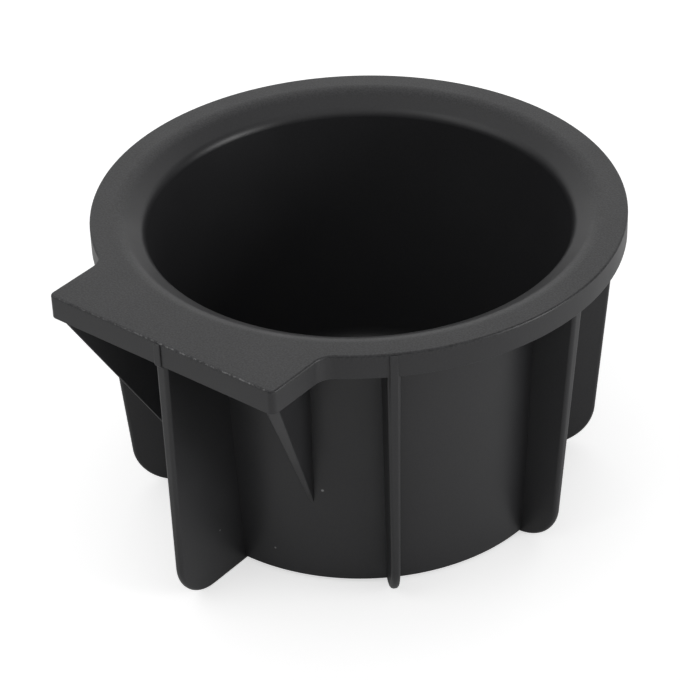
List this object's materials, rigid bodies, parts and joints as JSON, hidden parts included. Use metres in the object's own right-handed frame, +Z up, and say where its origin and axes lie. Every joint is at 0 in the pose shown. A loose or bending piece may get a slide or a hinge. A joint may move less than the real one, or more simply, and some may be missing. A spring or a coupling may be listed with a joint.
{
  "type": "car cup holder",
  "caption": "Round drop-in cup holder for a car console: a flat-bottomed cup with a funnel rim, a flush locating tab and stiffening fins round the outside.",
  "frame": {"origin": "centre of the cup's base, on the axis of the bore; the fins' feet stand 1 mm lower", "axes": "+Z up along the axis of the bore, the locating tab pointing along -Y"},
  "size_m": [0.1, 0.1067, 0.0597],
  "materials": {
    "moulded_plastic": "matte black, as moulded, with a fine even grain"
  },
  "bodies": {
    "root": {"holder_body": "moulded_plastic"}
  },
  "joints": []
}
